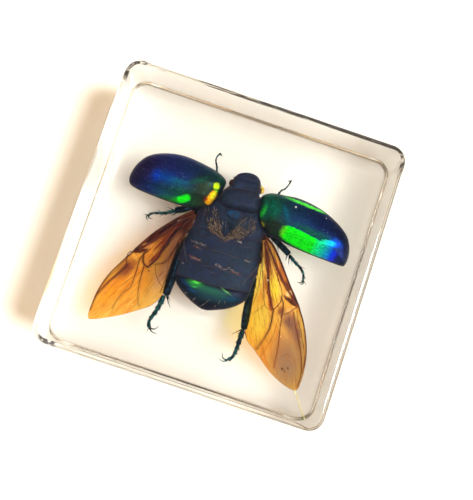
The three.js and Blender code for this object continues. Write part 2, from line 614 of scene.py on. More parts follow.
def tube(name, path, girths, sides=14, flatten=1.0, count=40):
    """A closed tube along a path, with a radius at each given point, rounded at both ends."""
    route = curve_through([tuple(p) + (g,) for p, g in zip(path, girths)], count)
    places = []
    for index, (x, y, z, girth) in enumerate(route):
        ahead = route[min(index + 1, count - 1)][:3] - route[max(index - 1, 0)][:3]
        forward = Vector(ahead).normalized()
        side = forward.cross(UP).normalized()
        top = side.cross(forward).normalized()
        position = index / (count - 1)
        into_end = max(0.0, 1.0 - min(position, 1.0 - position) / TUBE_END)
        reach = girth * max(math.sqrt(max(0.0, 1.0 - into_end**2)), 0.25)
        for step in range(sides):
            angle = 2 * math.pi * step / sides
            offset = side * math.cos(angle) * reach + top * math.sin(angle) * reach * flatten
            places.append((x + offset.x, y + offset.y, z + offset.z))
    return add_piece(name, places, stack_faces(count, sides))


def path_mesh(name, paths):
    """A mesh of bare edges along the given lists of points."""
    places, edges = [], []
    for points in paths:
        first = len(places)
        places += [tuple(map(float, place)) for place in points]
        edges += [(index, index + 1) for index in range(first, len(places) - 1)]
    mesh = bpy.data.meshes.new(name)
    mesh.from_pydata(places, edges, [])
    return mesh


# ---------------------------------------------------------------- geometry node trees

def new_tree(name, numbers):
    """A geometry tree with a Geometry input, the named inputs and a Finish input."""
    tree = bpy.data.node_groups.new(name, "GeometryNodeTree")
    tree.interface.new_socket("Geometry", in_out="INPUT", socket_type="NodeSocketGeometry")
    for label, kind, value in numbers:
        tree.interface.new_socket(label, in_out="INPUT", socket_type=kind).default_value = value
    tree.interface.new_socket("Finish", in_out="INPUT", socket_type="NodeSocketMaterial")
    tree.interface.new_socket("Geometry", in_out="OUTPUT", socket_type="NodeSocketGeometry")
    return tree, tree.nodes.new("NodeGroupInput").outputs


def close_tree(tree, geometry, finish):
    real = first_of(tree, "GeometryNodeRealizeInstances", {"Geometry": geometry})
    dressed = first_of(tree, "GeometryNodeSetMaterial", {"Geometry": real, "Material": finish})
    node(tree, "NodeGroupOutput", {"Geometry": dressed})
    return tree


def run_tree(piece, tree, finish, **numbers):
    """Applies a tree to a piece and puts the resulting plain mesh in its place."""
    modifier = piece.modifiers.new(tree.name, "NODES")
    modifier.node_group = tree
    values = {"Finish": finish}
    values.update({key.replace("_", " ").capitalize(): value for key, value in numbers.items()})
    for item in tree.interface.items_tree:
        if item.in_out == "INPUT" and item.name in values:
            modifier[item.identifier] = values[item.name]
    ready = piece.evaluated_get(bpy.context.evaluated_depsgraph_get())
    result = bpy.data.meshes.new_from_object(ready)
    piece.modifiers.remove(modifier)
    piece.data = result
    return piece


def kept(tree, name, kind="FLOAT"):
    """What is stored on the mesh under a name."""
    return first_of(tree, "GeometryNodeInputNamedAttribute", {"Name": name}, data_type=kind)


def random_number(tree, seed, low, high):
    inputs = {2: low, 3: high, "Seed": seed}
    return node(tree, "FunctionNodeRandomValue", inputs, data_type="FLOAT").outputs[1]


def swept(tree, route, sides, girth):
    """A round tube along a curve, closed at both ends."""
    ring = first_of(tree, "GeometryNodeCurvePrimitiveCircle", {"Resolution": sides, "Radius": 1.0})
    inputs = {"Curve": route, "Profile Curve": ring, "Scale": girth, "Fill Caps": True}
    return first_of(tree, "GeometryNodeCurveToMesh", inputs)


def strand_tree():
    """Turns edge paths into tapering tubes. Each point's girth attribute is the radius there."""
    tree, given = new_tree("strands", (("Sides", "NodeSocketInt", 6),))
    route = first_of(tree, "GeometryNodeMeshToCurve", {"Mesh": given["Geometry"]})
    return close_tree(tree, swept(tree, route, given["Sides"], kept(tree, "girth")), given["Finish"])


def spine_tree():
    """Sets stiff spines along edge paths, leaning away from the path alternately to either side."""
    numbers = (("Gap", "NodeSocketFloat", 0.5), ("Length", "NodeSocketFloat", 0.4),
               ("Thickness", "NodeSocketFloat", 0.05), ("Lean", "NodeSocketFloat", 0.8),
               ("Seed", "NodeSocketInt", 1))
    tree, given = new_tree("spines", numbers)
    route = first_of(tree, "GeometryNodeMeshToCurve", {"Mesh": given["Geometry"]})
    marks = first_of(tree, "GeometryNodeResampleCurve", {"Curve": route, "Length": given["Gap"]},
                     mode="LENGTH")
    parity = maths(tree, "MODULO", first_of(tree, "GeometryNodeInputIndex"), 2.0)
    side = first_of(tree, "ShaderNodeMath", {0: parity, 1: 2.0, 2: -1.0}, operation="MULTIPLY_ADD")
    stray = random_number(tree, given["Seed"], 0.7, 1.2)
    angle = times(tree, times(tree, side, given["Lean"]), stray)
    along = first_of(tree, "GeometryNodeInputTangent")
    spun = first_of(tree, "ShaderNodeVectorRotate", {"Vector": along, "Axis": UP, "Angle": angle})
    aim = first_of(tree, "FunctionNodeAlignRotationToVector", {"Vector": spun}, axis="Z")
    shape = {"Vertices": 6, "Side Segments": 2, "Radius Top": 0.12, "Radius Bottom": 1.0, "Depth": 1.0}
    cone = first_of(tree, "GeometryNodeMeshCone", shape)
    width = times(tree, given["Thickness"], stray)
    reach = times(tree, given["Length"], stray)
    size = first_of(tree, "ShaderNodeCombineXYZ", {0: width, 1: width, 2: reach})
    inputs = {"Points": marks, "Instance": cone, "Rotation": aim, "Scale": size}
    return close_tree(tree, first_of(tree, "GeometryNodeInstanceOnPoints", inputs), given["Finish"])


def bristle_tree():
    """Plants curved hairs on a surface, combed along its comb attribute, as densely as its thick one says."""
    numbers = (("Per square millimetre", "NodeSocketFloat", 10.0), ("Length", "NodeSocketFloat", 1.0),
               ("Thickness", "NodeSocketFloat", 0.03), ("Lift", "NodeSocketFloat", 0.3),
               ("Seed", "NodeSocketInt", 1))
    tree, given = new_tree("bristles", numbers)
    density = times(tree, given["Per square millimetre"], kept(tree, "thick"))
    inputs = {"Mesh": given["Geometry"], "Density": density, "Seed": given["Seed"]}
    roots = first_of(tree, "GeometryNodeDistributePointsOnFaces", inputs)
    inputs = {0: (-0.28, -0.28, -0.1), 1: (0.28, 0.28, 0.3), "Seed": given["Seed"]}
    stray = first_of(tree, "FunctionNodeRandomValue", inputs, data_type="FLOAT_VECTOR")
    lift = first_of(tree, "ShaderNodeCombineXYZ", {2: given["Lift"]})
    aim = vector_maths(tree, "ADD", kept(tree, "comb", "FLOAT_VECTOR"), lift)
    aim = vector_maths(tree, "ADD", aim, stray)
    turn = first_of(tree, "FunctionNodeAxesToRotation", {"Primary Axis": aim, "Secondary Axis": UP},
                    primary_axis="X", secondary_axis="Z")
    bend = first_of(tree, "GeometryNodeCurvePrimitiveBezierSegment", {
        "Resolution": 5, "Start": (0.0, 0.0, 0.0), "Start Handle": (0.35, 0.0, 0.12),
        "End Handle": (0.7, 0.0, 0.08), "End": (1.0, 0.0, -0.12)})
    share = first_of(tree, "GeometryNodeSplineParameter")
    taper = first_of(tree, "ShaderNodeMapRange", {"Value": share, "To Min": 1.0, "To Max": 0.25})
    hair = swept(tree, bend, 3, times(tree, taper, given["Thickness"]))
    size = times(tree, random_number(tree, given["Seed"], 0.55, 1.15), given["Length"])
    inputs = {"Points": roots, "Instance": hair, "Rotation": turn, "Scale": size}
    return close_tree(tree, first_of(tree, "GeometryNodeInstanceOnPoints", inputs), given["Finish"])


def strands(name, paths, tree, finish, sides=6):
    """One piece of tapering strands. Each path is (points, root radius, tip radius, number of steps)."""
    girths = []
    for _, root, tip, steps in paths:
        girths += [root + (tip - root) * (index / (steps - 1)) ** 1.2 for index in range(steps)]
    mesh = path_mesh(name, [curve_through(points, steps) for points, _, _, steps in paths])
    store(mesh, "girth", "FLOAT", girths)
    settle(run_tree(add_object(name, mesh), tree, finish, sides=sides))


# ---------------------------------------------------------------- the block

CORNER_STEPS = 14
FILLET_STEPS = 12


def rounded_square(inset):
    """Points on the four corner arcs of the block's outline, moved in by inset."""
    half = BLOCK_SIDE / 2 - inset
    radius = CORNER_RADIUS - inset
    points = []
    for quarter, (sign_x, sign_y) in enumerate(((1, 1), (-1, 1), (-1, -1), (1, -1))):
        for step in range(CORNER_STEPS + 1):
            angle = math.pi / 2 * (quarter + step / CORNER_STEPS)
            x = sign_x * (half - radius) + radius * math.cos(angle)
            y = sign_y * (half - radius) + radius * math.sin(angle)
            points.append((x, y))
    return points


def make_block(finish):
    """The resin block with finely rounded edges, in place of the plain solid. Its edge attribute runs to
    1 half way round the upper edge, and to -1 half way round the foot."""
    foot, top = [], []
    for step in range(FILLET_STEPS + 1):
        angle = math.pi / 2 * step / FILLET_STEPS
        level, out, share = 1 - math.cos(angle), 1 - math.sin(angle), math.sin(2 * angle)
        foot.append((FOOT_ROUNDING * out, FOOT_ROUNDING * level, -share))
        top.append((EDGE_ROUNDING * level, BLOCK_HEIGHT - EDGE_ROUNDING * out, share))
    profile = foot + top
    rings = [rounded_square(inset) for inset, _, _ in profile]
    around = len(rings[0])
    places = [(x, y, height) for ring, (_, height, _) in zip(rings, profile) for x, y in ring]
    block = add_piece("clear_block", places, stack_faces(len(profile), around))
    store(block.data, "edge", "FLOAT", np.repeat([share for _, _, share in profile], around))
    block.data.materials.append(finish)
    block.data.shade_smooth()
    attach(block, "root")
    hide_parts("resin_block")


# ---------------------------------------------------------------- the beetle's body

def make_head(shell, eye_finish, club_finishes):
    """The head with its face shield, eyes, antennae and feelers."""
    outline = [(-2.9, 7.3), (-2.35, 8.5), (-2.1, 9.4), (-1.7, 10.3), (-0.9, 10.95), (0.3, 11.25),
               (1.5, 11.05), (2.2, 10.4), (2.45, 9.6), (2.75, 8.4), (2.8, 7.2), (0.2, 6.9)]

    def furrow(x, y):
        """Wrinkles, and the furrow behind the face shield."""
        return rough((x, y), 0.5, 0.05) - 0.25 * math.exp(-((y - 9.9) / 0.22) ** 2)

    head = plate("head", outline, ((-0.9, 8.6), (1.1, 8.6)), 0.1, 1.15, belly=1.5, around=96, surface=furrow)
    settle(head, shell)
    lip = [(-1.6, 10.15), (-1.0, 10.85), (0.3, 11.15), (1.5, 10.9), (2.1, 10.15), (0.3, 9.9)]
    shield = plate("face_shield", lip, ((-0.5, 10.45), (1.1, 10.45)), 0.55, 0.28, thickness=0.3,
                   around=72, rings=10, power=6.0)
    settle(shield, shell)
    for side, x, y in (("left", -1.9, 8.9), ("right", 2.3, 8.8)):
        turns = np.linspace(0, 2 * math.pi, 9)[:-1]
        outline = [(x + 0.5 * math.cos(turn), y + 0.62 * math.sin(turn)) for turn in turns]
        eye = plate(f"eye_{side}", outline, ((x, y - 0.15), (x, y + 0.15)), 0.15, 0.55, belly=0.6,
                    around=40, rings=10)
        settle(eye, eye_finish)
    for side, sign, x in (("left", -1, -2.05), ("right", 1, 2.72)):
        for leaf in range(3):
            shift = 0.13 * (leaf - 1)
            path = [(x - 0.45 * sign, 9.75, -0.1), (x + shift * sign, 9.35, 0.1 * leaf),
                    (x + (0.1 + shift) * sign, 8.95, 0.1 * leaf), (x + shift * sign, 8.5, 0.1 * leaf)]
            club = tube(f"antenna_leaf_{side}_{leaf + 1}", path, (0.05, 0.2, 0.25, 0.16), 12, 0.55, 18)
            settle(club, club_finishes[side])
        stalk = [(sign * 1.6, 10.0, -0.3), (sign * 2.0, 10.0, -0.3), (x - 0.2 * sign, 9.75, -0.28),
                 (x - 0.3 * sign, 9.45, -0.25)]
        stalk = tube(f"antenna_stalk_{side}", stalk, (0.14, 0.09, 0.08, 0.07), sides=10, count=16)
        settle(stalk, shell)
        feeler = [(0.3 + sign * 0.6, 10.6, -0.8), (0.3 + sign * 1.1, 10.9, -1.1),
                  (0.3 + sign * 1.0, 11.2, -1.35)]
        settle(tube(f"feeler_{side}", feeler, (0.11, 0.12, 0.07), sides=10, count=14), shell)


# Oblique scratches in the shield behind the head: where each lies and its slope.
SCRATCHES = ((-0.9, 5.95, -0.55), (0.55, 6.3, -0.1), (1.4, 5.4, -0.5), (-2.0, 7.0, 0.4))


def make_collar(shell):
    """The big shield behind the head."""
    outline = [(-2.9, 7.75), (-1.4, 8.3), (0.1, 8.4), (1.6, 8.25), (2.9, 7.7), (3.4, 6.6), (3.5, 5.4),
               (2.4, 4.9), (0.6, 4.75), (-0.9, 4.6), (-2.6, 4.9), (-3.7, 5.4), (-3.4, 6.6)]

    def relief(x, y):
        scratch = 0.0
        for x0, y0, slope in SCRATCHES:
            offset = (y - y0) - slope * (x - x0)
            scratch += 0.10 * math.exp(-(offset / 0.08) ** 2 - ((x - x0) / 0.5) ** 2)
        return rough((x, y), 0.6, 0.06) + scratch

    collar = plate("collar", outline, ((-1.6, 6.4), (1.6, 6.4)), lambda x, y: 0.35 + 0.4 * max(0.0, y - 6.9),
                   1.75, belly=2.6, around=128, rings=26, surface=relief)
    settle(collar, shell)


THORAX_MIDDLE = -0.95


def thorax_relief(x, y):
    """Two swollen lobes with a furrow down the middle and a notch at the back."""
    aside = x - THORAX_MIDDLE
    furrow = -0.55 * math.exp(-(aside / 0.42) ** 2) * math.exp(-((y - 1.7) / 1.3) ** 2)
    lobes = 0.28 * math.exp(-(((abs(aside) - 2.0) / 1.2) ** 2)) * math.exp(-((y - 2.0) / 1.5) ** 2)
    return furrow + lobes + rough((x, y), 0.45, 0.07, 3.0)


def make_thorax(shell, scutellum_finish, hair, trees):
    """The middle of the body, the small shield between the wing cases and the hairs of the lobes."""
    outline = [(-4.0, 7.0), (-5.2, 5.6), (-5.9, 4.0), (-6.3, 2.2), (-5.7, 0.4), (-3.6, -0.1), (-1.0, -0.5),
               (1.6, -0.1), (4.1, 0.5), (5.1, 2.0), (5.0, 3.8), (4.2, 5.6), (3.4, 6.8), (0.0, 7.2)]
    thorax = plate("thorax", outline, ((-3.2, 2.8), (2.2, 2.8)), 0.0, 1.15, belly=3.1, around=140,
                   rings=30, surface=thorax_relief)
    bed = thorax.data.copy()
    bed.attributes.remove(bed.attributes["rim"])
    settle(thorax, shell)
    wedge = [(-1.95, 4.5), (-1.7, 3.85), (-1.2, 3.4), (-0.55, 3.25), (0.15, 3.4), (0.65, 3.85), (0.8, 4.5),
             (-0.6, 4.9)]
    scutellum = plate("scutellum", wedge, ((-1.1, 4.1), (-0.5, 4.1)), 1.3, 0.35, thickness=0.35,
                      around=64, rings=12)
    settle(scutellum, scutellum_finish)

    # Hairs of the two lobes, combed down and inwards to the notch.
    places = np.array([vertex.co for vertex in bed.vertices])
    goal = np.array((THORAX_MIDDLE - 0.1, -0.6, 0.9))
    comb = goal - places
    comb[:, 0] *= np.interp(places[:, 1], (0.4, 2.8), (1.5, 0.35))
    comb[:, 2] = -0.12
    comb /= np.linalg.norm(comb, axis=1)[:, None]
    span = np.abs(places[:, 0] - THORAX_MIDDLE)
    upper = places[:, 2] > 0.4
    inside = (places[:, 1] < 3.0 - 0.15 * span) & (places[:, 1] > 0.25 + 0.32 * np.maximum(span - 1.0, 0.0))
    beside = (span < 3.3) & (span > 0.2 + 0.5 * np.maximum(places[:, 1] - 0.6, 0.0))
    flanks = upper & (places[:, 1] > 2.3) & (places[:, 1] < 4.7) & (span > 1.7) & (span < 4.2)
    thick = np.where(upper & inside & beside, 1.0, 0.0) + np.where(flanks, 0.3, 0.0)
    store(bed, "comb", "FLOAT_VECTOR", comb)
    store(bed, "thick", "FLOAT", thick)
    for shade, density, length, thickness, seed in (("dark", 16.0, 1.2, 0.022, 4),
                                                    ("gold", 13.0, 1.5, 0.016, 9)):
        coat = add_object(f"thorax_hair_{shade}", bed.copy())
        run_tree(coat, trees["bristles"], hair[shade], per_square_millimetre=density, length=length,
                 thickness=thickness, lift=0.22, seed=seed)
        settle(coat)


def abdomen_sides(y):
    """The left and right edge of the abdomen at a given place along the body."""
    stations = (-8.6, -7.0, -6.0, -4.0, -2.0, 0.0, 1.6, 2.4)
    left = np.interp(y, stations, (-6.5, -7.1, -7.2, -7.3, -7.15, -6.8, -6.3, -5.8))
    right = np.interp(y, stations, (4.3, 4.85, 5.0, 5.3, 5.45, 5.2, 4.8, 4.4))
    return float(left), float(right)


def abdomen_heights(y):
    """How far the abdomen stands above and below its side edges."""
    stations = (-9.0, -7.0, -4.5, -2.0, 0.5, 2.4)
    above = np.interp(y, stations, (0.9, 1.25, 1.45, 1.4, 1.1, 0.9))
    below = np.interp(y, stations, (1.6, 2.4, 2.9, 3.1, 3.0, 2.8))
    return float(above), float(below)


# How far below the body's plane the abdomen's side edges lie, and how square its section is.
ABDOMEN_DROP = 0.25
ACROSS_POWER = 0.82
UP_POWER = 0.86


def abdomen_section(angle, y, grow):
    """A point of the abdomen's cross section, flat-topped and bulging below."""
    left, right = abdomen_sides(y)
    above, below = abdomen_heights(y)
    across, up = math.cos(angle), math.sin(angle)
    half = (right - left) / 2 * grow
    x = (left + right) / 2 + half * math.copysign(abs(across) ** ACROSS_POWER, across)
    z = (above if up > 0 else below) * math.copysign(abs(up) ** UP_POWER, up) * grow
    return x, z - ABDOMEN_DROP


def back_height(x, y):
    """Height of the abdomen's back at a place."""
    left, right = abdomen_sides(y)
    share = min(1.0, abs(x - (left + right) / 2) / ((right - left) / 2)) ** (1 / ACROSS_POWER)
    return abdomen_heights(y)[0] * math.sqrt(1 - min(share, 1.0) ** 2) ** UP_POWER - ABDOMEN_DROP


def make_abdomen_ring(number, front, back, shell):
    """One ring of the abdomen. Its hind edge stands a little over the next ring."""
    around, steps = 120, 14
    grows = [0.90, 0.962, 0.972] + list(np.linspace(0.975, 1.0, steps - 6)) + [1.002, 0.992, 0.93]
    lengths = [0.0, 0.01, 0.05] + list(np.linspace(0.1, 0.955, steps - 6)) + [0.985, 1.0, 1.0]
    places, rims = [], []
    for grow, length in zip(grows, lengths):
        y = front + (back - front) * length
        for step in range(around):
            angle = 2 * math.pi * step / around
            bow = 0.35 * math.cos(angle) ** 2 if math.sin(angle) > 0 else 0.0
            x, z = abdomen_section(angle, y, grow)
            wrinkle = rough((x, y), 0.8, 0.05, 5.0 + number) if 0.06 < length < 0.95 else 0.0
            places.append((x, y + bow - 0.12, z + wrinkle))
            rims.append(max(0.9 if length > 0.95 else 0.0, abs(math.cos(angle)) ** 4))
    ring = add_piece(f"abdomen_ring_{number}", places, stack_faces(steps, around), rims)
    settle(ring, shell)


def make_abdomen(shell, tail_finish):
    """The four rings and the last plate."""
    spans = ((2.2, -0.35), (-0.15, -2.15), (-1.95, -4.7), (-4.5, -7.25))
    for number, (front, back) in enumerate(spans, start=1):
        make_abdomen_ring(number, front, back, shell)
    outline = [(-6.75, -6.9), (-6.9, -7.9), (-6.1, -8.9), (-5.0, -9.75), (-3.2, -10.8), (-1.6, -11.35),
               (0.0, -11.1), (1.9, -10.4), (3.3, -9.55), (4.4, -8.5), (4.75, -7.6), (4.5, -6.9),
               (0.0, -6.7), (-3.5, -6.6)]
    tail = plate("tail_plate", outline, ((-4.3, -7.9), (2.2, -7.9)), lambda x, y: -0.35 + 0.05 * (y + 7),
                 1.35,
                 belly=1.9, around=140, rings=26, surface=lambda x, y: rough((x, y), 0.9, 0.06, 8.0))
    settle(tail, tail_finish)


# Tufts on the rings: the ends of the line that each grows along, and its number of hairs.
TUFTS = {
    "pale": (
        ((-5.9, -1.5), (-3.5, -1.75), 15), ((-5.2, -4.0), (-3.8, -4.15), 8),
        ((-1.5, -4.1), (-0.2, -4.55), 12),
        ((0.1, -4.5), (0.8, -4.2), 6), ((1.0, -4.35), (2.4, -4.75), 9), ((2.8, -2.3), (3.7, -2.55), 8),
        ((1.0, 0.25), (1.8, 0.15), 7), ((-1.5, 0.2), (-0.7, 0.15), 8), ((-6.5, -5.1), (-6.2, -5.3), 4),
    ),
    "rust": (
        ((-5.5, -2.2), (-4.1, -2.35), 14), ((-5.7, -3.8), (-3.7, -4.2), 30), ((1.2, -4.6), (2.7, -4.9), 14),
    ),
}


def make_ring_hairs(hair, trees):
    for shade, tufts in TUFTS.items():
        paths = []
        for (x0, y0), (x1, y1), count in tufts:
            for index in range(count):
                share = (index + 0.5) / count
                x = x0 + (x1 - x0) * share + rng.uniform(-0.1, 0.1)
                y = y0 + (y1 - y0) * share + rng.uniform(-0.12, 0.12)
                swing = rng.uniform(-0.24, 0.24)
                fall = rng.uniform(-0.22, -0.05)
                z = back_height(x, y) + 0.06
                points = [(x - swing, y - fall, z), (x, y, z + 0.10), (x + swing, y + fall, z + 0.03)]
                paths.append((points, 0.020, 0.008, 6))
        strands(f"ring_hair_{shade}", paths, trees["strands"], hair[shade], sides=4)


# The raised edges along the flanks, and where those across the back lie: their y, and from x to x.
FLANK_EDGES = (
    ((-7.35, -0.9), (-6.9, -2.4), (-6.3, -3.8), (-5.85, -4.9)),
    ((5.35, -2.1), (4.8, -3.4), (4.1, -4.7), (3.4, -6.0)),
)
BACK_EDGES = ((-0.35, 1.0, 3.0), (-2.2, -2.6, 1.8), (-4.72, -3.4, 2.0), (-5.6, -2.2, -1.0))
EDGE_LIFT = 0.05


def make_edge_lines(finish, trees):
    seams = []
    for points in FLANK_EDGES:
        seams.append(([(x, y, back_height(x, y) + EDGE_LIFT) for x, y in points], 0.06, 0.035, 24))
    for y, first, last in BACK_EDGES:
        run = np.linspace(first, last, 6)
        points = [(x, y - 0.12 * math.sin(x), back_height(x, y) + EDGE_LIFT) for x in run]
        seams.append((points, 0.022, 0.018, 20))
    strands("flank_seams", seams, trees["strands"], finish)


# Single long hairs of the tail plate: where each starts and how far it reaches.
LONG_HAIRS = (
    (-1.0, -9.6, -0.5, -0.8), (-1.6, -10.4, -0.55, -0.7), (0.6, -9.4, -0.1, -0.55), (0.2, -10.2, -0.2, -0.4),
    (1.3, -9.2, 0.2, -0.5), (-3.2, -9.9, -0.4, -0.6), (-4.6, -9.4, -0.5, -0.3),
)
TAIL_EDGE = ((-6.2, -8.7), (-5.0, -9.7), (-3.0, -10.85), (-1.5, -11.3), (0.0, -11.0), (2.0, -10.3),
             (3.6, -9.2))
TAIL_RIMS = (
    ((-6.6, -8.5), (-4.9, -9.85), (-3.2, -10.8), (-2.0, -11.15)),
    ((-1.0, -11.2), (0.4, -10.95), (2.2, -10.25)),
)


def make_tail_hairs(finish, trees):
    """Long hairs on the tail plate, a short fringe below its edge, and the pale rim itself."""
    paths = []
    for x, y, dx, dy in LONG_HAIRS:
        z = 0.75 + 0.35 * (y + 8.5) / 3
        points = [(x, y, z), (x + dx / 2, y + dy / 2, z + 0.1), (x + dx, y + dy, z - 0.15)]
        paths.append((points, 0.024, 0.01, 8))
    for x, y in curve_through(TAIL_EDGE, 60):
        length = rng.uniform(0.12, 0.34)
        lean = rng.uniform(-0.35, 0.35)
        points = [(x, y + 0.08, -0.45), (x + lean * length, y - length * 0.6, -0.42),
                  (x + lean * length * 1.6, y - length, -0.5)]
        paths.append((points, 0.018, 0.008, 5))
    for rim in TAIL_RIMS:
        paths.append(([(x, y, -0.35) for x, y in rim], 0.035, 0.02, 24))
    strands("tail_hair", paths, trees["strands"], finish, sides=4)


# ---------------------------------------------------------------- wing cases

def make_wing_cases():
    left = [(-3.05, 8.9), (-4.6, 9.95), (-7.9, 10.8), (-10.7, 11.1), (-13.4, 10.7), (-15.6, 9.75),
            (-17.0, 8.1),
            (-17.65, 6.2), (-17.5, 4.95), (-16.7, 4.35), (-14.8, 3.95), (-12.0, 3.6), (-9.0, 3.4),
            (-7.2, 3.35),
            (-5.6, 3.75), (-4.35, 4.6), (-3.6, 6.1), (-3.1, 7.6)]
    right = [(3.0, 6.6), (3.0, 8.0), (4.3, 8.8), (6.5, 9.0), (8.5, 9.1), (10.8, 8.75), (13.4, 7.9),
             (15.8, 6.55),
             (17.4, 5.1), (18.15, 3.5), (18.3, 2.0), (18.1, 0.8), (17.5, 0.4), (14.5, 0.7), (12.0, 1.0),
             (9.0, 1.5),
             (6.4, 2.15), (4.9, 2.6), (3.8, 3.7), (3.1, 5.2)]
    cases = (
        ("wing_case_left", left, ((-14.2, 7.0), (-6.4, 7.3)), left_case_finish()),
        ("wing_case_right", right, ((6.2, 5.7), (14.6, 4.0)), right_case_finish()),
    )
    for name, outline, spine, finish in cases:
        case = plate(name, outline, spine, lambda x, y: 1.25 + 0.02 * abs(x), 2.0, thickness=0.22,
                     around=200, rings=30, power=2.4, sharpness=0.62)
        settle(case, finish)


# ---------------------------------------------------------------- hind wings

LEFT_WING = [(-6.6, 3.3), (-8.0, 2.3), (-10.0, 0.4), (-12.3, -2.2), (-14.2, -5.0), (-15.6, -7.1),
             (-17.2, -9.8),
             (-18.1, -12.5), (-18.55, -15.4), (-18.45, -16.8), (-17.8, -16.95), (-16.0, -16.3),
             (-13.6, -15.2), (-11.0, -13.7),
             (-9.2, -12.4), (-8.0, -10.0), (-7.6, -6.5), (-7.3, -3.0), (-6.6, 0.5), (-6.1, 2.6)]
RIGHT_WING = [(4.9, 2.2), (6.3, 1.3), (8.0, -0.9), (10.0, -3.7), (11.8, -6.1), (12.8, -7.3), (13.9, -9.1),
              (15.0, -11.6),
              (15.7, -14.0), (15.95, -16.5), (15.8, -19.0), (15.25, -20.0), (13.2, -19.5), (11.0, -18.3),
              (9.3, -16.9),
              (7.6, -15.4), (5.9, -13.9), (5.3, -11.0), (5.2, -7.0), (5.1, -3.0), (4.7, 0.6)]

# Veins: the points of each and its radius at the root and at the end.
LEFT_VEINS = (
    (((-6.7, 3.2), (-8.0, 2.2), (-10.0, 0.3), (-12.3, -2.3), (-14.1, -5.0)), 0.20, 0.20),
    (((-14.1, -5.0), (-15.5, -7.1), (-17.1, -9.8), (-18.0, -12.5), (-18.5, -15.6)), 0.12, 0.05),
    (((-6.6, 2.6), (-8.2, 1.2), (-10.0, -0.9), (-11.8, -3.0), (-13.8, -5.1)), 0.16, 0.14),
    (((-6.6, 2.2), (-7.5, 0.9), (-9.2, -2.4), (-10.3, -5.3), (-11.5, -7.1)), 0.13, 0.15),
    (((-6.4, 1.8), (-7.3, -0.4), (-8.2, -3.4), (-9.0, -5.6), (-10.4, -6.4)), 0.09, 0.05),
    (((-6.3, 1.2), (-7.2, -1.2), (-7.9, -4.0), (-8.3, -7.5), (-8.6, -10.5)), 0.08, 0.05),
    (((-6.9, 0.2), (-7.6, -2.2), (-8.5, -4.8), (-8.4, -7.8)), 0.05, 0.03),
    (((-11.5, -7.1), (-12.3, -6.6), (-12.6, -5.4), (-12.2, -4.5), (-13.6, -4.9)), 0.13, 0.11),
    (((-14.0, -5.2), (-14.9, -5.6), (-15.0, -6.4), (-14.7, -7.6)), 0.10, 0.08),
    (((-12.6, -5.2), (-13.0, -6.3), (-13.0, -7.6)), 0.09, 0.07),
    (((-13.0, -7.4), (-13.15, -9.8), (-13.4, -10.9), (-14.1, -11.7), (-14.8, -13.1), (-15.2, -14.6)), 0.09,
     0.025),
    (((-12.1, -7.0), (-12.15, -9.4), (-11.9, -11.6), (-11.4, -13.2)), 0.09, 0.03),
    (((-10.5, -6.4), (-10.0, -7.8), (-9.2, -8.9), (-8.5, -9.6)), 0.05, 0.03),
    (((-14.6, -7.4), (-15.4, -8.8), (-16.8, -10.8), (-17.9, -12.8), (-18.3, -14.4)), 0.12, 0.04),
    (((-14.9, -6.6), (-16.0, -8.6), (-17.4, -11.0), (-18.2, -13.6)), 0.05, 0.03),
    (((-13.0, -8.6), (-14.6, -10.6), (-16.4, -13.6), (-17.6, -16.3)), 0.035, 0.02),
)
RIGHT_VEINS = (
    (((5.0, 2.0), (6.4, 1.1), (8.1, -0.9), (10.0, -3.6), (11.8, -6.0), (12.7, -7.2)), 0.19, 0.17),
    (((12.7, -7.2), (13.9, -9.2), (14.9, -11.5), (15.6, -14.0), (15.8, -16.2)), 0.13, 0.06),
    (((5.2, 1.6), (7.0, -0.9), (8.8, -3.2), (10.2, -4.9), (12.3, -6.9)), 0.15, 0.13),
    (((5.2, 1.2), (5.9, -0.9), (6.9, -3.6), (7.8, -6.3), (8.8, -8.6)), 0.15, 0.17),
    (((5.1, 0.9), (6.5, -1.2), (7.4, -3.6)), 0.12, 0.06),
    (((5.6, 0.8), (7.4, -2.2), (9.0, -4.5), (9.8, -6.2), (9.7, -7.6), (9.0, -8.7)), 0.05, 0.10),
    (((5.1, 0.0), (5.6, -3.0), (5.9, -6.0), (5.8, -8.5)), 0.07, 0.03),
    (((5.3, -0.6), (6.0, -3.6), (6.9, -6.4), (7.6, -8.4), (8.8, -8.9)), 0.06, 0.05),
    (((9.7, -6.5), (10.3, -7.4), (10.5, -8.6), (10.4, -9.6)), 0.10, 0.08),
    (((10.1, -6.2), (11.3, -6.9), (12.5, -7.3)), 0.11, 0.09),
    (((12.5, -7.4), (11.7, -8.3), (11.0, -8.9), (10.5, -9.1)), 0.08, 0.05),
    (((9.0, -8.7), (9.15, -10.4), (9.1, -11.8), (8.6, -13.6), (8.0, -15.2)), 0.12, 0.03),
    (((10.4, -8.6), (10.7, -11.0), (11.1, -14.2), (11.3, -17.4)), 0.10, 0.03),
    (((10.1, -9.8), (10.0, -12.2), (9.5, -14.4), (9.0, -16.0)), 0.035, 0.02),
    (((12.2, -8.3), (12.7, -9.8), (13.8, -12.0), (15.0, -14.8), (15.6, -17.4), (15.5, -19.3)), 0.10, 0.06),
    (((12.6, -8.0), (13.3, -9.6), (14.6, -12.2), (15.5, -14.8), (15.8, -17.2)), 0.05, 0.04),
    (((7.6, -8.2), (6.7, -9.4), (6.0, -10.2)), 0.035, 0.02),
    (((13.0, -14.6), (12.2, -15.3), (11.4, -16.1)), 0.03, 0.015),
)
# Where each hind wing is crumpled, and how far that reaches.
WING_NODES = {"left": (-12.6, -5.8), "right": (10.9, -7.8)}
NODE_REACH = 2.2
# Veins from this number on are too fine to pleat the wing, as are those with thinner roots than this.
PLEATING_VEINS = 16
PLEATING_ROOT = 0.045
# How thick a vein stands, as a share of its radius in the lists, and the points that each is traced by.
VEIN_SWELL = 0.82
VEIN_POINTS = 24


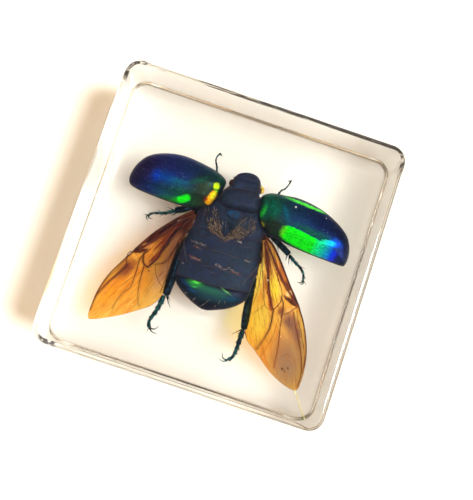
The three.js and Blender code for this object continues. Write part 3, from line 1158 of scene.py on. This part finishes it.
def distance_to_path(points, path):
    """Distance of each plan point to a polyline."""
    best = np.full(len(points), 1e9)
    for start, end in zip(path[:-1], path[1:]):
        run = end - start
        share = np.clip(((points - start) @ run) / max(run @ run, 1e-9), 0.0, 1.0)[:, None]
        best = np.minimum(best, np.linalg.norm(points - (start + share * run), axis=1))
    return best


def wing_height(side, veins, points):
    """Height of a hind wing: it hangs towards its tip and is pleated along its veins."""
    node_x, node_y = WING_NODES[side]
    away = np.abs(points[:, 0]) - 5.0
    height = 0.65 - 0.05 * away - 0.045 * np.maximum(0.0, -points[:, 1])
    for index, (path, root, _) in enumerate(veins[:PLEATING_VEINS]):
        gap = distance_to_path(points, curve_through(path, VEIN_POINTS))
        height += (0.16 if index % 2 else 0.24) * np.exp(-(gap / 0.45) ** 2) * (root > PLEATING_ROOT)
    crumple = np.exp(-((points[:, 0] - node_x) ** 2 + (points[:, 1] - node_y) ** 2) / NODE_REACH**2)
    folds = np.array([noise.noise(Vector((x * 1.1, y * 1.1, 2.0))) for x, y in points])
    pleats = np.array([noise.noise(Vector((x * 0.9, y * 0.28, 7.0))) for x, y in points])
    return height + 0.9 * crumple * folds + 0.35 * pleats


def make_hind_wing(side, outline, spine, veins, finish, vein_material, trees):
    wing = plate(f"hind_wing_{side}", outline, spine, 0.0, 0.0, thickness=0.05, around=220, rings=44,
                 power=2.0)
    flat = np.array([vertex.co for vertex in wing.data.vertices])
    flat[:, 2] += wing_height(side, veins, flat[:, :2])
    wing.data.vertices.foreach_set("co", flat.ravel())
    stain = np.zeros(len(flat))
    vein_paths = []
    for path, root, tip in veins:
        route = curve_through(path, VEIN_POINTS)
        share = min(1.0, max(0.0, (root - 0.06) / 0.09))
        gap = distance_to_path(flat[:, :2], route)
        stain = np.maximum(stain, share * np.exp(-(gap / (0.10 + 0.9 * root)) ** 2))
        height = wing_height(side, veins, route) - 0.02
        places = [(x, y, z) for (x, y), z in zip(route, height)]
        vein_paths.append((places, root * VEIN_SWELL, tip * VEIN_SWELL, 40))
    store(wing.data, "stain", "FLOAT", stain)
    settle(wing, finish)
    strands(f"wing_veins_{side}", vein_paths, trees["strands"], vein_material, sides=8)


def make_hind_wings(trees):
    ochre = (0.98, 0.52, 0.08)
    left_marks = (
        ((-9.4, -8.6), (2.6, 6.0), 10, 0.9, (1.0, 0.62, 0.16)),
        ((-8.2, -2.6), (1.1, 5.6), -12, 0.8, (0.82, 0.44, 0.25)),
        ((-8.9, -7.6), (1.2, 2.8), -16, 0.9, (0.96, 0.60, 0.34)),
        ((-10.4, -0.6), (5.4, 1.15), 48, 0.6, (0.20, 0.075, 0.075)),
        ((-7.4, 1.0), (2.4, 1.2), 70, 0.8, (0.12, 0.05, 0.05)),
        ((-9.3, -1.4), (3.4, 0.6), 58, 0.6, (0.42, 0.13, 0.06)),
        ((-10.9, -1.5), (4.6, 0.60), 48, 0.4, (0.045, 0.012, 0.020)),
        ((-9.2, -2.1), (4.1, 0.36), 67, 0.4, (0.05, 0.012, 0.015)),
        # A painted highlight: a pale pink streak on the membrane near the hinge.
        ((-8.5, 1.2), (0.55, 0.16), 42, 0.5, (1.0, 0.80, 0.62)),
        ((-13.5, -4.9), (1.2, 0.46), 14, 0.35, (0.04, 0.012, 0.018)),
        ((-10.8, -5.4), (1.4, 0.5), 62, 0.6, (0.45, 0.12, 0.05)),
        ((-14.6, -8.1), (2.5, 1.2), 56, 0.9, (0.30, 0.10, 0.07)),
        ((-12.4, -3.9), (0.9, 0.6), 20, 0.5, (1.0, 0.60, 0.22)),
        ((-14.0, -5.9), (1.0, 0.35), -35, 0.5, (1.0, 0.68, 0.16)),
        ((-11.7, -5.2), (0.5, 1.2), -10, 0.6, ochre),
        ((-11.4, -9.4), (1.4, 2.4), 0, 0.9, ochre),
        ((-16.2, -12.6), (3.6, 1.0), 62, 0.9, (1.0, 0.50, 0.06)),
    )
    right_marks = (
        ((7.4, -11.0), (2.3, 4.6), 0, 0.9, (1.0, 0.92, 0.16)),
        ((5.7, -4.6), (0.7, 5.0), 2, 0.8, (1.0, 0.90, 0.16)),
        ((8.2, -5.3), (1.0, 2.9), 22, 0.7, (1.0, 0.80, 0.06)),
        ((7.2, -1.6), (0.45, 2.6), 34, 0.7, (1.0, 0.62, 0.12)),
        ((10.1, -4.2), (4.2, 0.65), -54, 0.7, (0.90, 0.32, 0.06)),
        ((6.2, -1.4), (2.4, 0.42), -68, 0.6, (0.60, 0.10, 0.03)),
        ((8.4, -8.0), (1.5, 0.45), -66, 0.7, (0.75, 0.20, 0.04)),
        ((12.1, -10.2), (2.7, 1.4), -52, 0.9, (0.22, 0.09, 0.08)),
        ((11.0, -5.5), (2.3, 0.45), -50, 0.4, (0.06, 0.015, 0.020)),
        ((8.3, -2.8), (2.6, 0.25), -52, 0.4, (0.13, 0.018, 0.008)),
        ((6.7, -2.9), (3.4, 0.29), -74, 0.4, (0.14, 0.020, 0.010)),
        ((7.9, -6.9), (2.3, 0.24), -64, 0.4, (0.28, 0.05, 0.02)),
        ((13.4, -11.6), (3.4, 1.1), -64, 0.9, (0.36, 0.17, 0.12)),
        ((11.6, -8.1), (0.9, 0.4), 35, 0.5, (1.0, 0.55, 0.16)),
        ((10.2, -8.6), (0.7, 0.9), 0, 0.8, (0.42, 0.14, 0.05)),
        ((10.9, -5.6), (0.5, 0.8), -50, 0.5, (1.0, 0.80, 0.35)),
        ((11.5, -6.85), (1.5, 0.38), -22, 0.3, (0.04, 0.010, 0.015)),
        ((12.6, -14.8), (2.2, 4.6), 14, 0.95, (0.62, 0.33, 0.13)),
        ((13.0, -16.6), (3.4, 4.8), 12, 1.0, (0.50, 0.31, 0.18)),
    )
    vein_material = two_tone("wing_vein", (0.03, 0.008, 0.005), (0.11, 0.028, 0.010), 1.6, 0.35, 1.2)
    left_root = ((-9.4, -1.6), (5.6, 2.3), 60)
    left_finish = hind_wing_finish("hind_wing_left", left_marks, 60, left_root, (0.20, 0.04, 0.03))
    right_root = ((7.6, -3.6), (5.8, 2.3), -66)
    right_finish = hind_wing_finish("hind_wing_right", right_marks, -66, right_root, (0.45, 0.10, 0.03))
    make_hind_wing("left", LEFT_WING, ((-8.4, -0.5), (-15.6, -14.0)), LEFT_VEINS, left_finish,
                   vein_material, trees)
    make_hind_wing("right", RIGHT_WING, ((6.4, -1.5), (13.6, -16.5)), RIGHT_VEINS, right_finish,
                   vein_material, trees)


# ---------------------------------------------------------------- legs

# For each leg the paths of its long parts, in the beetle's millimetres, and their radii.
LEGS = {
    "fore_left": {
        "femur": (((-2.4, 6.3, -1.6), (-4.2, 6.9, -1.5), (-5.6, 7.6, -1.3)), (0.45, 0.6, 0.36)),
        "tibia": (((-5.5, 7.6, -1.3), (-5.1, 8.7, -1.3), (-4.75, 9.8, -1.3)), (0.28, 0.34, 0.2)),
        "foot": ((-4.75, 9.7, -1.3), (-5.0, 11.0, -1.3), (-5.4, 11.9, -1.3), (-5.45, 12.5, -1.3),
                 (-5.2, 13.05, -1.3)),
        "girth": 0.24, "claws": (((-4.95, 13.2), (-4.85, 12.95)), ((-5.0, 13.3), (-4.6, 12.95))),
        "spurs": ()},
    "fore_right": {
        "femur": (((2.6, 6.0, -1.6), (4.2, 6.3, -1.5), (5.7, 6.8, -1.3)), (0.45, 0.6, 0.36)),
        "tibia": (((5.7, 6.8, -1.3), (5.5, 7.9, -1.3), (5.4, 9.0, -1.3)), (0.28, 0.34, 0.2)),
        "foot": ((5.4, 8.9, -1.3), (5.8, 9.9, -1.3), (6.3, 10.3, -1.3), (6.7, 11.0, -1.3), (6.9, 11.6, -1.3)),
        "girth": 0.22, "claws": (((6.75, 11.8), (6.5, 11.6)), ((7.0, 11.95), (6.85, 11.6))), "spurs": ()},
    "mid_left": {
        "femur": (((-4.0, 2.4, -1.9), (-5.8, 3.3, -1.7), (-7.4, 3.9, -1.3)), (0.5, 0.68, 0.4)),
        "tibia": (((-7.2, 3.9, -1.3), (-8.4, 3.2, -1.2), (-9.75, 2.65, -1.2)), (0.40, 0.54, 0.46)),
        "foot": ((-9.6, 2.6, -1.2), (-11.0, 1.9, -1.2), (-12.1, 1.6, -1.2), (-13.0, 1.35, -1.2),
                 (-13.5, 0.95, -1.2)),
        "girth": 0.36, "claws": (((-13.8, 0.6), (-13.5, 0.05)), ((-13.4, 0.55), (-12.75, 0.45))),
        "spurs": (((-9.5, 2.7), (-10.35, 2.6)), ((-9.4, 2.3), (-10.0, 1.7)))},
    "mid_right": {
        "femur": (((3.4, 1.4, -1.9), (4.8, 2.2, -1.7), (6.0, 2.7, -1.3)), (0.5, 0.68, 0.4)),
        "tibia": (((5.9, 2.6, -1.3), (7.7, 1.5, -1.2), (9.5, 0.35, -1.2)), (0.40, 0.50, 0.50)),
        "foot": ((9.5, 0.3, -1.2), (10.6, -0.6, -1.2), (11.7, -1.3, -1.2), (12.4, -2.2, -1.2),
                 (12.55, -3.0, -1.2)),
        "girth": 0.36, "claws": (((12.35, -3.5), (11.75, -3.65)), ((12.65, -3.6), (12.3, -3.85))),
        "spurs": (((9.5, 0.2), (9.75, -1.25)), ((9.2, 0.1), (9.1, -0.7)))},
    "hind_left": {
        "femur": (((-3.8, -0.6, -2.3), (-5.9, -1.2, -2.1), (-7.5, -1.9, -1.3)), (0.6, 0.85, 0.5)),
        "tibia": (((-7.5, -2.0, -1.0), (-7.5, -5.0, -1.0), (-7.6, -8.0, -1.0), (-7.75, -10.7, -1.0)),
                  (0.50, 0.62, 0.74, 0.56)),
        "foot": ((-8.0, -10.7, -1.0), (-8.3, -12.3, -1.1), (-8.75, -13.8, -1.2), (-9.25, -15.0, -1.2),
                 (-9.0, -16.1, -1.2)),
        "girth": 0.56, "claws": (((-8.1, -16.1), (-7.6, -15.45)), ((-8.4, -16.6), (-7.6, -16.75))),
        "spurs": (((-7.6, -10.7), (-6.6, -12.35)), ((-7.4, -10.6), (-7.1, -11.8)))},
    "hind_right": {
        "femur": (((2.2, -1.2, -2.3), (3.8, -2.6, -2.2), (5.1, -4.3, -1.5)), (0.6, 0.85, 0.5)),
        "tibia": (((5.0, -4.4, -1.2), (5.05, -8.2, -1.0), (5.2, -10.9, -1.0), (5.35, -12.9, -1.0)),
                  (0.46, 0.60, 0.64, 0.50)),
        "foot": ((5.25, -12.9, -1.0), (5.1, -14.6, -1.1), (5.0, -16.0, -1.2), (4.75, -17.2, -1.2),
                 (4.1, -17.95, -1.2)),
        "girth": 0.54, "claws": (((3.3, -17.9), (2.95, -17.1)), ((3.4, -18.35), (2.7, -18.1))),
        "spurs": (((5.1, -12.8), (3.75, -13.95)), ((5.3, -12.9), (4.5, -13.8)))},
}

# The joints of a foot end at these shares of its length.
FOOT_JOINTS = (0.0, 0.24, 0.42, 0.58, 0.74, 1.0)
FOOT_STEPS = 60
# Feet thinner than this belong to the fore legs, whose spines are too small to see.
BARE_FOOT = 0.25


def make_leg(name, leg, shell, foot_finish, trees):
    for part, flatten in (("femur", 0.7), ("tibia", 0.75)):
        path, girths = leg[part]
        settle(tube(f"{part}_{name}", path, girths, flatten=flatten, count=30), shell)

    # Five joints of the foot, each widening to its far end.
    route = curve_through(leg["foot"], FOOT_STEPS + 1)
    for joint, (start, end) in enumerate(zip(FOOT_JOINTS, FOOT_JOINTS[1:]), start=1):
        stretch = route[round(start * FOOT_STEPS):round(end * FOOT_STEPS) + 2]
        girth = leg["girth"] * (1.0 - 0.08 * joint)
        path = [stretch[0], stretch[len(stretch) // 2], stretch[-2], stretch[-1]]
        girths = (girth * 0.66, girth * 0.8, girth, girth * 0.86)
        settle(tube(f"foot_{name}_{joint}", path, girths, sides=12, count=14), foot_finish)

    # Two claws from the end of the foot, each with its middle and its point, and the spurs of the shin.
    tip = tuple(route[-1])
    paths = []
    for middle, point in leg["claws"]:
        points = [tip, (*middle, tip[2] + 0.12), (*point, tip[2] - 0.18)]
        paths.append((points, 0.13, 0.03, 14))
    z = leg["foot"][0][2]
    for start, end in leg["spurs"]:
        middle = ((start[0] + end[0]) / 2, (start[1] + end[1]) / 2, z + 0.1)
        paths.append(([(*start, z), middle, (*end, z - 0.1)], 0.10, 0.03, 12))
    strands(f"claws_{name}", paths, trees["strands"], foot_finish, sides=8)

    if leg["girth"] < BARE_FOOT:
        return
    rows = (("shin", leg["tibia"][0], 0.62, 1.45, 0.10), ("foot", leg["foot"], 0.34, 0.85, 0.08))
    for part, path, gap, length, thickness in rows:
        spines = add_object(f"spines_{part}_{name}", path_mesh("path", [curve_through(path, 30)]))
        run_tree(spines, trees["spines"], shell, gap=gap, length=length, thickness=thickness, lean=0.55,
                 seed=len(name))
        settle(spines)


# ---------------------------------------------------------------- what else is sealed in

# Small grains and bubbles, and near-white specks that stand in for glints as painted highlights: the slot,
# how lumpy they are, and for each its place and radius.
GRAINS = {
    "dust_crumb": ("beetle_shell", 0.5, (
        (12.5, -17.2, 0.5, 0.24), (13.3, -16.85, 0.5, 0.16), (12.9, -17.5, 0.5, 0.13),
        (14.6, -15.2, 0.5, 0.09), (13.0, -14.9, 0.5, 0.10), (-11.2, -7.6, 0.2, 0.13))),
    # Near-white specks as painted highlights of glints of light, one of them beside the bubble at (7.1,
    # -4.5).
    "glint_speck": ("body_hair", 0.3, (
        (2.72, 7.9, 2.2, 0.20), (8.4, 7.4, 3.5, 0.15), (7.08, -4.5, 0.9, 0.16), (13.4, 6.9, 3.4, 0.06))),
    "air_bubble": ("clear_resin", 0.0, (
        (7.1, -4.5, 1.2, 0.16), (13.1, -17.3, 0.1, 0.10), (15.0, -18.4, 0.0, 0.10))),
}
STRAY_FIBRE = ((15.2, -19.9, -0.6), (15.9, -21.0, -0.5), (16.6, -22.2, -0.3), (17.2, -23.1, -0.1),
               (17.7, -23.8, 0.2))


def make_traces(trees):
    straw = two_tone("straw_fibre", (0.85, 0.72, 0.28), (0.95, 0.88, 0.5), 0.6, 0.4, relief=0.02)
    strands("stray_fibre", [(STRAY_FIBRE, 0.10, 0.07, 40)], trees["strands"], straw, sides=8)
    finishes = {
        "dust_crumb": two_tone("dust_crumb", (0.06, 0.03, 0.015), (0.16, 0.08, 0.03), 0.1, 0.7, relief=0.02),
        # The near-white finish of the specks that stand in for glints, a painted highlight.
        "glint_speck": two_tone("glint_speck", (0.86, 0.88, 0.92), (0.98, 0.98, 0.98), 0.3, 0.5, relief=0.02),
        "air_bubble": trapped_air(),
    }
    for name, (slot, lumpiness, grains) in GRAINS.items():
        for number, (*place, radius) in enumerate(grains, start=1):
            settle(make_grain(f"{name}_{number}", place, radius, lumpiness), finishes[name])


def make_grain(name, place, radius, lumpiness):
    """A small round grain or bubble. At lumpiness 0 it is a plain ball."""
    rings, around = 10, 16
    directions = [(0.0, 0.0, 1.0)]
    for ring in range(1, rings):
        tilt = math.pi * ring / rings
        for step in range(around):
            turn = 2 * math.pi * step / around
            directions.append((math.sin(tilt) * math.cos(turn), math.sin(tilt) * math.sin(turn),
                               math.cos(tilt)))
    directions.append((0.0, 0.0, -1.0))
    places = []
    for x, y, z in directions:
        swell = radius * (1 + lumpiness * noise.noise(Vector((x * 1.3 + place[0], y * 1.3, z * 1.3))))
        places.append((place[0] + x * swell, place[1] + y * swell, place[2] + z * swell))
    faces = []
    for step in range(around):
        after = (step + 1) % around
        faces.append((0, 1 + step, 1 + after))
        last = 1 + (rings - 2) * around
        faces.append((len(places) - 1, last + after, last + step))
        for ring in range(rings - 2):
            a, b = 1 + ring * around + step, 1 + ring * around + after
            faces.append((a, a + around, b + around, b))
    return add_piece(name, places, faces)


# ---------------------------------------------------------------- stage

FLOOR_REACH = 1.5
FLOOR_DROP = 0.05 * MM


def make_floor():
    mesh = bpy.data.meshes.new("floor")
    corners = ((-1, -1), (1, -1), (1, 1), (-1, 1))
    mesh.from_pydata([(x * FLOOR_REACH, y * FLOOR_REACH, -FLOOR_DROP) for x, y in corners], [],
                     [(0, 1, 2, 3)])
    material, tree = new_finish("floor", 0.7)
    tree.nodes["Principled BSDF"].inputs["Base Color"].default_value = opaque((0.9, 0.885, 0.865))
    mesh.materials.append(material)
    add_object("floor", mesh)


SKY_STRENGTH = 0.85
SKY_STOPS = (
    (0.0, (0.23, 0.16, 0.09)), (0.18, (0.68, 0.48, 0.26)), (0.36, (1.40, 0.97, 0.54)),
    (0.84, (1.40, 0.99, 0.56)), (0.94, (0.15, 0.18, 0.26)), (1.0, (0.15, 0.18, 0.26)),
)


def make_sky():
    """Warm room light: dim overhead, bright at middle height, and near the ground bright by the window."""
    world = bpy.data.worlds.new("room")
    bpy.context.scene.world = world
    world.use_nodes = True
    tree = world.node_tree
    ground = tree.nodes["Background"]
    direction = node(tree, "ShaderNodeTexCoord").outputs["Generated"]
    x, y, z = node(tree, "ShaderNodeSeparateXYZ", {0: direction}).outputs
    low = ease(tree, z, 0.46, 0.30)
    away = ease(tree, maths(tree, "ADD", x, times(tree, y, -0.35)), 0.45, -0.25)
    colour = blend(tree, times(tree, low, away), ramp(tree, z, SKY_STOPS), (0.28, 0.22, 0.16))
    colour = blend(tree, times(tree, low, ease(tree, x, 0.35, 0.8)), colour, (1.5, 1.25, 0.85))
    tree.links.new(colour, ground.inputs["Color"])
    ground.inputs["Strength"].default_value = SKY_STRENGTH


def make_window_light():
    """A round lamp that stands in for the window on the right."""
    lamp = bpy.data.lights.new("window_light", "AREA")
    lamp.shape = "DISK"
    lamp.energy = 13.0
    lamp.size = 0.27
    lamp.color = (0.86, 0.88, 0.84)
    azimuth, from_zenith, distance = math.radians(4), math.radians(30), 0.8
    across, up = math.sin(from_zenith), math.cos(from_zenith)
    placed = add_object("window_light", lamp)
    placed.location = Vector((math.cos(azimuth) * across, math.sin(azimuth) * across, up)) * distance
    aim = Vector((0.0, 0.0, BLOCK_HEIGHT / 2)) - placed.location
    placed.rotation_euler = aim.to_track_quat("-Z", "Y").to_euler()


def set_render():
    scene = bpy.context.scene
    scene.view_settings.view_transform = "Standard"
    scene.cycles.max_bounces = 24
    scene.cycles.transmission_bounces = 24
    scene.cycles.glossy_bounces = 12
    scene.cycles.diffuse_bounces = 4
    scene.cycles.sample_clamp_indirect = 0.0
    scene.cycles.use_denoising = True


# ---------------------------------------------------------------- putting it together

make_camera()
make_block(clear_resin())

TREES = {"strands": strand_tree(), "spines": spine_tree(), "bristles": bristle_tree()}
SHELL = body_shell("body_shell", (0.009, 0.020, 0.066), (0.008, 0.024, 0.054))
HAIR = {
    "dark": two_tone("dark_hair", (0.012, 0.008, 0.006), (0.05, 0.03, 0.02), 0.35, 0.45),
    "gold": two_tone("gold_hair", (0.06, 0.038, 0.028), (0.74, 0.52, 0.34), 0.35, 0.45),
    "pale": two_tone("pale_hair", (0.20, 0.13, 0.11), (0.75, 0.62, 0.55), 0.35, 0.45),
    "rust": two_tone("rust_hair", (0.14, 0.04, 0.04), (0.50, 0.20, 0.17), 0.35, 0.45),
    "seam": two_tone("seam_edge", (0.05, 0.04, 0.045), (0.12, 0.10, 0.10), 0.35, 0.45),
}
EYE = two_tone("eye", (0.02, 0.008, 0.006), (0.06, 0.02, 0.012), 0.12, 0.25, relief=0.02)
CLUBS = {
    "left": two_tone("antenna_club_dark", (0.02, 0.008, 0.008), (0.06, 0.02, 0.015), 0.3, 0.4, relief=0.02),
    "right": two_tone("antenna_club", (0.75, 0.42, 0.05), (0.95, 0.75, 0.12), 0.3, 0.4, relief=0.02),
}

make_head(SHELL, EYE, CLUBS)
make_collar(SHELL)
make_thorax(SHELL, body_shell("scutellum_shell", (0.001, 0.030, 0.09), (0.001, 0.048, 0.14)), HAIR, TREES)
make_abdomen(SHELL, tail_shell())
make_ring_hairs(HAIR, TREES)
make_edge_lines(HAIR["seam"], TREES)
make_tail_hairs(HAIR["pale"], TREES)
make_wing_cases()
make_hind_wings(TREES)
SHIN = leg_shell("shin_shell", (0.01, 0.03, 0.05))
FOOT = leg_shell("foot_shell", (0.015, 0.09, 0.10))
for leg_name, leg_shape in LEGS.items():
    make_leg(leg_name, leg_shape, SHIN, FOOT, TREES)
make_traces(TREES)

make_floor()
make_sky()
make_window_light()
set_render()
